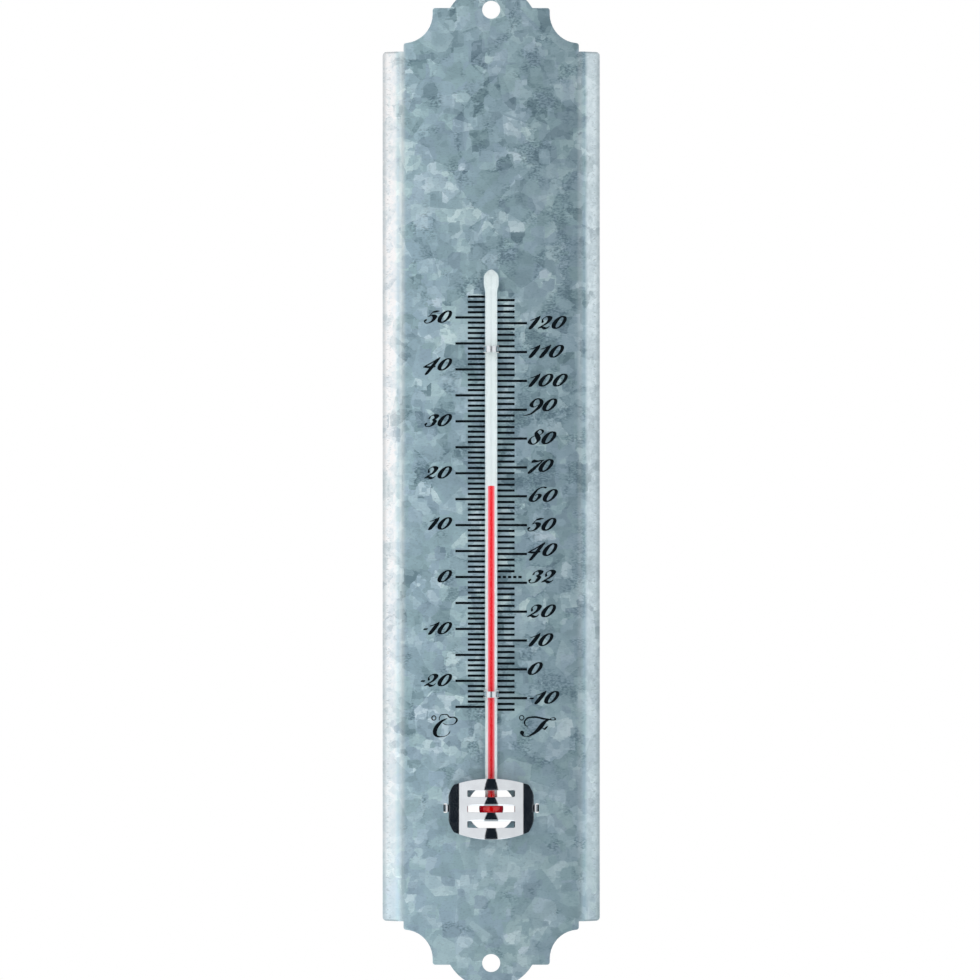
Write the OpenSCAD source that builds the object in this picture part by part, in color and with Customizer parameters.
// Wall thermometer: a bent, galvanised sheet-metal backplate that carries a spirit-filled
// glass tube, two straps that hold the tube, and a pierced metal guard over its bulb.
// Millimetres. Z is up, the scale faces -Y, and the wall is on the +Y side.
// The origin is midway between the two screw holes, on the rear face of the flat panel.

/* [Backplate] */
// Width across the two side flanges
plate_w = 65; // [60:1:80]
// Height of the flanged part, from shoulder to shoulder
plate_h = 260; // [250:2:320]
// Thickness of the sheet
sheet_t = 0.6; // [0.4:0.1:1]
// Width of the flat panel between the two bends
panel_w = 53.4; // [53:0.2:57]
// Angle that each flange is bent back towards the wall, in degrees
flange_angle = 35; // [20:1:60]
// Inside radius of the bends
bend_r = 3; // [1:0.5:4]
// Radius of the four outer corners of the flanges
flange_corner_r = 1.1; // [0.5:0.1:2]

/* [End tabs] */
// Width of the foot of each end tab, where it leaves the flanged part
tab_w = 52.4; // [46:0.2:52.8]
// Height of the straight foot of each end tab
tab_foot_h = 2.5; // [1.5:0.1:4]
// Radius of the concave scoop in each side of an end tab
scoop_r = 8.7; // [7:0.1:9.5]
// Height of the step beside the round end, above the shoulder
neck_h = 13; // [12.8:0.1:15]
// Radius of the round end
dome_r = 14.3; // [13:0.1:16]
// Height of the round end above the step
dome_h = 7; // [5:0.1:9]
// Radius of the small outer corners of the tabs
tab_corner_r = 0.8; // [0.3:0.1:1.2]

/* [Screw holes] */
// Diameter of the screw hole in each end tab
screw_d = 5.4; // [3.5:0.1:7]
// Distance of each screw hole from the tip of its end tab
screw_inset = 7.5; // [6:0.1:10]

/* [Glass tube] */
// Outside diameter of the stem
tube_d = 3.6; // [3.2:0.1:4.4]
// Length of the tube, from the centre of the bulb to the sealed tip
tube_l = 161; // [158:0.5:200]
// Diameter of the swollen tip
tip_d = 4.5; // [4.5:0.1:5.5]
// Height of the straight part of the swollen tip
tip_h = 2; // [1:0.1:4]
// Outside diameter of the bulb
bulb_d = 7.2; // [6.4:0.1:8.4]
// Thickness of the glass round the bulb
bulb_wall = 0.45; // [0.3:0.05:0.7]
// Radius of the fillet between the bulb and the stem
neck_r = 1.5; // [1:0.1:2.5]
// Width of the flat bore
bore_w = 1.1; // [0.6:0.1:1.4]
// Thickness of the flat bore
bore_t = 0.12; // [0.08:0.01:0.2]
// Distance of the bore behind the axis of the tube
bore_setback = 0.7; // [0.5:0.05:0.9]
// Diameter of the expansion chamber in the tip
chamber_d = 2.2; // [1.8:0.1:2.6]
// Thickness of the white enamel on the back of the stem and the tip
enamel_t = 0.3; // [0.2:0.05:0.4]
// Height of the centre of the bulb, above the middle of the plate
bulb_z = -96.2; // [-105:0.1:-90]

/* [Spirit] */
// Temperature that the thermometer shows, in degrees Celsius
reading_c = 17.6; // [-25:0.1:54]
// Length of the liquid above the centre of the bulb that never leaves the neck
neck_fill = 4.5; // [4:0.1:6]
// Clearance between the moving column and the wall of the bore
column_clearance = 0.01; // [0.01:0.01:0.02]

/* [Scale] */
// Height of one degree Celsius
degree_h = 1.552; // [1.4:0.001:1.6]
// Height of the zero Celsius line above the centre of the bulb
zero_up = 69.1; // [66:0.1:70]
// Lowest line on the Celsius side
lowest_c = -25; // [-30:1:-20]
// Highest line on the Celsius side
highest_c = 54; // [40:1:54]
// Lowest line on the Fahrenheit side
lowest_f = -14; // [-20:2:0]
// Highest line on the Fahrenheit side
highest_f = 128; // [100:2:128]
// Distance from the middle of the scale to the outer end of a short line
short_line_end = 7; // [5:0.1:9]
// Distance from the middle of the scale to the outer end of a long line
long_line_end = 10.7; // [9.5:0.1:13]
// Thickness of a line
line_t = 0.7; // [0.3:0.05:0.8]
// Thickness of the ink
ink_t = 0.05; // [0.03:0.01:0.1]
// Space between the stem and the lines
line_gap = 0.1; // [0.05:0.05:0.5]
// Distance from the middle of the scale to the outer end of the dashed freezing line
dashed_line_end = 9.2; // [7.5:0.1:12]
// Length of one dash of the freezing line
dash_l = 1; // [0.5:0.05:1.5]
// Space between two dashes
dash_gap = 0.55; // [0.3:0.05:1]

/* [Tube straps] */
// Thickness of the strap metal
strap_t = 0.25; // [0.2:0.05:0.4]
// Height of a strap, along the tube
strap_h = 1.8; // [1.5:0.1:3]
// Distance of the upper strap below the sealed tip
upper_strap_down = 23.8; // [12:0.1:40]
// Height of the lower strap above the centre of the bulb
lower_strap_up = 34.1; // [25:0.1:50]
// Length of the foot that is folded over behind the plate
strap_foot = 2.2; // [1.5:0.1:3]

/* [Bulb guard] */
// Width of the guard across its feet
guard_w = 25.6; // [24.8:0.1:29]
// Height of the guard at its middle
guard_h = 18.2; // [17:0.1:22]
// Thickness of the guard metal
guard_t = 0.4; // [0.3:0.05:0.5]
// Width of the curved front between the two creases
crown_w = 18.8; // [17.6:0.1:20]
// Radius of the curved front
crown_r = 15; // [14:0.5:24]
// Radius of the bowed upper and lower edges
edge_bow_r = 32.5; // [26:0.5:50]
// Distance by which the circle that trims the side walls clears the feet
guard_round_out = 0.5; // [0.3:0.1:2]
// Width of the three openings
vent_w = 14.2; // [10:0.1:15]
// Height of each opening
vent_h = 2; // [1.5:0.1:2.8]
// Distance from one opening to the next
vent_pitch = 4.6; // [4:0.05:5.2]
// Radius of the corners of the openings
vent_r = 0.3; // [0.2:0.05:0.6]
// Diameter of the window in the plate behind the bulb
window_d = 14.2; // [12:0.1:18]
// Width of the two tabs that hold the guard
guard_tab_w = 2.2; // [1.5:0.1:3.5]
// Length of each tab that lies on the front of the plate
guard_tab_reach = 0.9; // [0.8:0.1:1.6]
// Length of each tab that is folded over behind the plate
guard_tab_fold = 2.4; // [1.5:0.1:3.5]

/* [Clearances] */
// Space between the tube and what it lies on or what lies over it
seat_gap = 0.05; // [0.03:0.01:0.1]
// Space between the bulb and the inside of the guard
bulb_gap = 0.4; // [0.3:0.05:1]
// Space round a strap or tab in its slot
slot_gap = 0.15; // [0.1:0.05:0.3]

/* [Hidden] */
$fn = 96;

// Heights on the plate
shoulder_z = plate_h / 2;
step_z = shoulder_z + neck_h;
top_z = step_z + dome_h;
screw_z = top_z - screw_inset;
scoop_z = shoulder_z + tab_foot_h + scoop_r;

// Heights on the tube and the scale
tip_z = bulb_z + tube_l;
strap_heights = [tip_z - upper_strap_down, bulb_z + lower_strap_up];
zero_z = bulb_z + zero_up;
freezing_f = 32;
fahrenheit_per_celsius = 1.8;
column_foot_z = bulb_z + neck_fill;
chamber_z = tip_z - tip_d / 2;
enamel_foot_up = bulb_d / 2 + neck_r;

// Distances from the rear face of the panel, positive towards the wall. The swollen tip
// lies on the panel and holds the axis of the tube at its height above the panel.
front_y = -sheet_t;
axis_rise = seat_gap + tip_d / 2;
axis_y = front_y - axis_rise;
bore_y = axis_y + bore_setback;

// Tube straps
strap_inner_r = tube_d / 2 + seat_gap;
strap_slot_w = strap_t + 2 * slot_gap;
strap_slot_h = strap_h + 2 * slot_gap;
strap_slot_x = strap_inner_r + strap_t / 2;
line_start = tube_d / 2 + line_gap;

// Bulb guard, measured outwards from the front of the panel
guard_rise = axis_rise + bulb_d / 2 + bulb_gap + guard_t;
crown_centre = guard_rise - crown_r;
crease = [crown_w / 2, crown_centre + sqrt(crown_r * crown_r - crown_w * crown_w / 4)];
guard_foot = [guard_w / 2, 0];
wall_way = along(guard_foot - crease);
inner_foot = [guard_foot[0] + guard_t / wall_way[1], 0];

// Below this height the circle of the crown leaves the walls alone
untrimmed_wall_h = 0.8 * crease[1];

// Tabs of the bulb guard
guard_slot_x = guard_w / 2 + guard_tab_reach;
guard_tab_x = guard_slot_x - slot_gap;
guard_slot_w = guard_t + 5 * slot_gap;
guard_slot_h = guard_tab_w + 4 * slot_gap;
fold_depth = -sheet_t - seat_gap - guard_t / 2;

// Extra length that takes a cutting shape clear of what it cuts
cut = 1;

// Direction of a vector, and the direction a quarter turn to its left
function along(v) = v / norm(v);
function leftward(v) = [-v[1], v[0]];

// Corner point of a bent strip, at a distance to the left of the path a, b, c
function mitre(a, b, c, distance) =
    let (n1 = leftward(along(b - a)), n2 = leftward(along(c - b)))
    b + distance * (n1 + n2) / (1 + n1 * n2);

// Points at a distance to the left of a path
function beside(path, distance) =
    let (last = len(path) - 1)
    [
        for (i = [0:last])
            i == 0 ? path[0] + distance * leftward(along(path[1] - path[0]))
            : i == last ? path[last] + distance * leftward(along(path[last] - path[last - 1]))
            : mitre(path[i - 1], path[i], path[i + 1], distance)
    ];

function backwards(points) = [for (i = [len(points) - 1:-1:0]) points[i]];

// Outline of sheet metal that follows a path, and has the path midway in its thickness
function strip(path, thickness) =
    concat(beside(path, thickness / 2), backwards(beside(path, -thickness / 2)));

function scale_height(celsius) = zero_z + celsius * degree_h;
function in_celsius(fahrenheit) = (fahrenheit - freezing_f) / fahrenheit_per_celsius;

// Rectangle from the origin, with its far corner rounded
module rounded_corner(w, h, r) {
    square([w - r, h]);
    square([w, h - r]);
    translate([w - r, h - r])
        circle(r);
}

// Rectangle about its centre, with all corners rounded
module rounded_rectangle(w, h, r) {
    for (x = [0, 1], y = [0, 1])
        mirror([x, 0])
            mirror([0, y])
                rounded_corner(w / 2, h / 2, r);
}

// Extrudes a front view through the part, from one distance to another
module through_front(from_y, to_y) {
    translate([0, to_y, 0])
        rotate([90, 0, 0])
            linear_extrude(to_y - from_y)
                children();
}

// Extrudes a top view upwards about a height. Its second axis runs outwards from the panel.
module through_top(middle_z, h) {
    translate([0, front_y, middle_z - h / 2])
        mirror([0, 1, 0])
            linear_extrude(h)
                children();
}

// Right upper quarter of the front view of the backplate
module plate_quarter() {
    foot_top_z = scoop_z - sqrt(scoop_r * scoop_r - tab_corner_r * tab_corner_r);
    rounded_corner(plate_w / 2, shoulder_z, flange_corner_r);
    rounded_corner(tab_w / 2, foot_top_z, tab_corner_r);
    difference() {
        square([tab_w / 2 - tab_corner_r, scoop_z]);
        translate([tab_w / 2, scoop_z])
            circle(scoop_r);
    }
    rounded_corner(tab_w / 2 - scoop_r, step_z, tab_corner_r);
    intersection() {
        translate([0, top_z - dome_r])
            circle(dome_r);
        translate([0, scoop_z])
            square([dome_r, top_z]);
    }
}

// Everything behind a surface that runs along the panel, round both bends and along the flanges
module behind_surface(panel_y, r) {
    bend = [panel_w / 2, bend_r];
    flange_start = bend + r * [sin(flange_angle), -cos(flange_angle)];
    flange_end = flange_start + plate_w * [cos(flange_angle), sin(flange_angle)];
    for (side = [0, 1])
        mirror([side, 0]) {
            translate(bend)
                circle(r);
            polygon([
                [-cut, panel_y], [panel_w / 2, panel_y], bend, flange_start, flange_end,
                [flange_end[0], plate_w], [-cut, plate_w]
            ]);
        }
}

// Cross-section of the backplate: flat panel, bends and flanges
module plate_section() {
    difference() {
        behind_surface(-sheet_t, bend_r + sheet_t);
        behind_surface(0, bend_r);
    }
}

module strap_slots() {
    for (middle_z = strap_heights, side = [-1, 1])
        translate([side * strap_slot_x, front_y, middle_z])
            cube([strap_slot_w, 4 * cut, strap_slot_h], center = true);
}

module backplate() {
    color("lightslategray")
        difference() {
            intersection() {
                translate([0, 0, -top_z])
                    linear_extrude(2 * top_z)
                        plate_section();
                through_front(-plate_w, plate_w)
                    for (x = [0, 1], y = [0, 1])
                        mirror([x, 0])
                            mirror([0, y])
                                plate_quarter();
            }
            through_front(front_y - cut, cut) {
                for (side = [-1, 1])
                    translate([0, side * screw_z])
                        circle(d = screw_d);
                translate([0, bulb_z])
                    circle(d = window_d);
                for (side = [-1, 1])
                    translate([side * guard_slot_x, bulb_z])
                        rounded_rectangle(guard_slot_w, guard_slot_h, guard_slot_w / 3);
            }
            strap_slots();
        }
}

// Outline of the stem and the swollen tip above a height, at a depth below the skin of the glass
module stem_profile(from, depth = 0) {
    shoulder = tube_l - tip_d / 2;
    translate([0, from])
        square([tube_d / 2 - depth, shoulder - from]);
    for (below = [0, tip_h])
        translate([0, shoulder - below])
            circle(d = tip_d - 2 * depth);
    translate([0, shoulder - tip_h])
        square([tip_d / 2 - depth, tip_h]);
}

// Half of the outline of the blown glass: bulb, filleted neck, stem and swollen tip
module glass_profile() {
    stem_r = tube_d / 2;
    fillet = [stem_r + neck_r, sqrt(pow(bulb_d / 2 + neck_r, 2) - pow(stem_r + neck_r, 2))];
    intersection() {
        translate([0, -bulb_d])
            square([bulb_d, tube_l + 2 * bulb_d]);
        union() {
            circle(d = bulb_d);
            difference() {
                polygon([[0, 0], fillet, [0, fillet[1]]]);
                translate(fillet)
                    circle(neck_r);
            }
            stem_profile(fillet[1] - cut / 10);
        }
    }
}

module blown_glass() {
    translate([0, axis_y, bulb_z])
        rotate_extrude()
            glass_profile();
}

// Rear half of all that lies outside the inner face of the enamel, above its foot
module enamel_region() {
    intersection() {
        translate([0, axis_y, bulb_z])
            rotate_extrude()
                difference() {
                    translate([0, enamel_foot_up])
                        square([bulb_d, tube_l]);
                    stem_profile(0, enamel_t);
                }
        translate([-2 * bulb_d, axis_y, bulb_z])
            cube([4 * bulb_d, 2 * bulb_d, 2 * tube_l]);
    }
}

// Flat ribbon of the bore, from one height to another, thinner all round by a clearance
module bore_ribbon(from_z, to_z, clearance = 0) {
    translate([-bore_w / 2 + clearance, bore_y - bore_t / 2 + clearance, from_z])
        cube([bore_w - 2 * clearance, bore_t - 2 * clearance, to_z - from_z]);
}

module bulb_cavity() {
    translate([0, axis_y, bulb_z])
        sphere(d = bulb_d - 2 * bulb_wall);
}

module glass_tube() {
    color("aliceblue", 0.4)
        difference() {
            blown_glass();
            bulb_cavity();
            bore_ribbon(bulb_z, chamber_z);
            translate([0, axis_y, chamber_z])
                rotate_extrude()
                    intersection() {
                        square([chamber_d, 4 * tip_h], center = false);
                        circle(d = chamber_d);
                    }
            translate([0, axis_y, chamber_z - tip_h])
                cylinder(h = tip_h, d = chamber_d);
            enamel_region();
        }
}

module enamel_backing() {
    color("white")
        intersection() {
            blown_glass();
            enamel_region();
        }
}

module bulb_spirit() {
    color("firebrick") {
        bulb_cavity();
        bore_ribbon(bulb_z, column_foot_z);
    }
}

module spirit_column() {
    color("red")
        bore_ribbon(column_foot_z, scale_height(reading_c), column_clearance);
}

// Stadium end of a strap: a circle round the stem, widened straight down to a depth
module strap_outline(r, depth) {
    translate([0, axis_rise])
        circle(r);
    translate([-r, -depth])
        square([2 * r, depth + axis_rise]);
}

// Strap over the stem: a half ring, two legs through the plate and two folded feet
module tube_strap(middle_z) {
    foot_depth = sheet_t + seat_gap + strap_t;
    foot_reach = strap_inner_r + strap_t + strap_foot;
    color("silver")
        through_top(middle_z, strap_h)
            difference() {
                union() {
                    strap_outline(strap_inner_r + strap_t, foot_depth);
                    translate([-foot_reach, -foot_depth])
                        square([2 * foot_reach, strap_t]);
                }
                strap_outline(strap_inner_r, foot_depth + cut);
            }
}

module upper_tube_strap() {
    tube_strap(strap_heights[0]);
}

module lower_tube_strap() {
    tube_strap(strap_heights[1]);
}

// Front view of the guard: bowed upper and lower edges, and rounded side walls
module guard_blank() {
    bow_centre = edge_bow_r - guard_h / 2;
    intersection() {
        circle(guard_w / 2 + guard_round_out);
        translate([0, bow_centre])
            circle(edge_bow_r);
        translate([0, -bow_centre])
            circle(edge_bow_r);
    }
}

// Area under two sloping walls from their feet, and under a crown that joins them at the creases
module crowned_outline(foot, r) {
    apex = [0, foot[1] - wall_way[1] / wall_way[0] * foot[0]];
    intersection() {
        polygon([[-foot[0], foot[1]], foot, apex]);
        union() {
            translate([0, crown_centre])
                circle(r);
            translate([-guard_w, -guard_w])
                square([2 * guard_w, guard_w + untrimmed_wall_h]);
        }
    }
}

// Cross-section of the guard: curved front, creases and sloping side walls
module guard_section() {
    difference() {
        crowned_outline(guard_foot, crown_r);
        crowned_outline(inner_foot - cut * [wall_way[0] / wall_way[1], 1], crown_r - guard_t);
    }
}

// Tabs that hold the guard: from inside the metal of the side walls along the plate, through
// a slot and folded over behind
module guard_tabs() {
    inside = (guard_foot[0] + guard_t * wall_way[0] / wall_way[1] + inner_foot[0]) / 2;
    for (side = [0, 1])
        mirror([side, 0])
            polygon(strip([
                [inside, guard_t / 2],
                [guard_tab_x, guard_t / 2],
                [guard_tab_x, fold_depth],
                [guard_tab_x + guard_tab_fold, fold_depth]
            ], guard_t));
}

module bulb_guard() {
    color("gainsboro") {
        difference() {
            intersection() {
                through_top(bulb_z, 2 * guard_h)
                    guard_section();
                translate([0, 0, bulb_z])
                    through_front(-guard_w, 0)
                        guard_blank();
            }
            translate([0, 0, bulb_z])
                through_front(-guard_w, front_y)
                    for (row = [-1:1])
                        translate([0, row * vent_pitch])
                            rounded_rectangle(vent_w, vent_h, vent_r);
        }
        through_top(bulb_z, guard_tab_w)
            guard_tabs();
    }
}

// Printed line to the right of the stem, centred on a height
module printed_line(z, end, start = line_start) {
    translate([start, front_y - ink_t, z - line_t / 2])
        cube([end - start, ink_t, line_t]);
}

// Row of dashes to the right of the stem, centred on a height
module dashed_line(z) {
    for (start = [line_start:dash_l + dash_gap:dashed_line_end - dash_l])
        printed_line(z, start + dash_l, start);
}

// Celsius lines: one each degree, and a long one each five degrees
module celsius_graduations() {
    long_every = 5;
    color("black")
        difference() {
            mirror([1, 0, 0])
                for (c = [lowest_c:highest_c])
                    printed_line(scale_height(c), c % long_every == 0 ? long_line_end : short_line_end);
            strap_slots();
        }
}

// Fahrenheit lines: one each two degrees, a long one each ten degrees and a dashed one at freezing
module fahrenheit_graduations() {
    short_every = 2;
    long_every = 10;
    color("black")
        difference() {
            for (f = [lowest_f:short_every:highest_f])
                if (f == freezing_f)
                    dashed_line(scale_height(0));
                else
                    printed_line(
                        scale_height(in_celsius(f)), f % long_every == 0 ? long_line_end : short_line_end
                    );
            strap_slots();
        }
}

backplate();
glass_tube();
enamel_backing();
bulb_spirit();
spirit_column();
upper_tube_strap();
lower_tube_strap();
bulb_guard();
celsius_graduations();
fahrenheit_graduations();
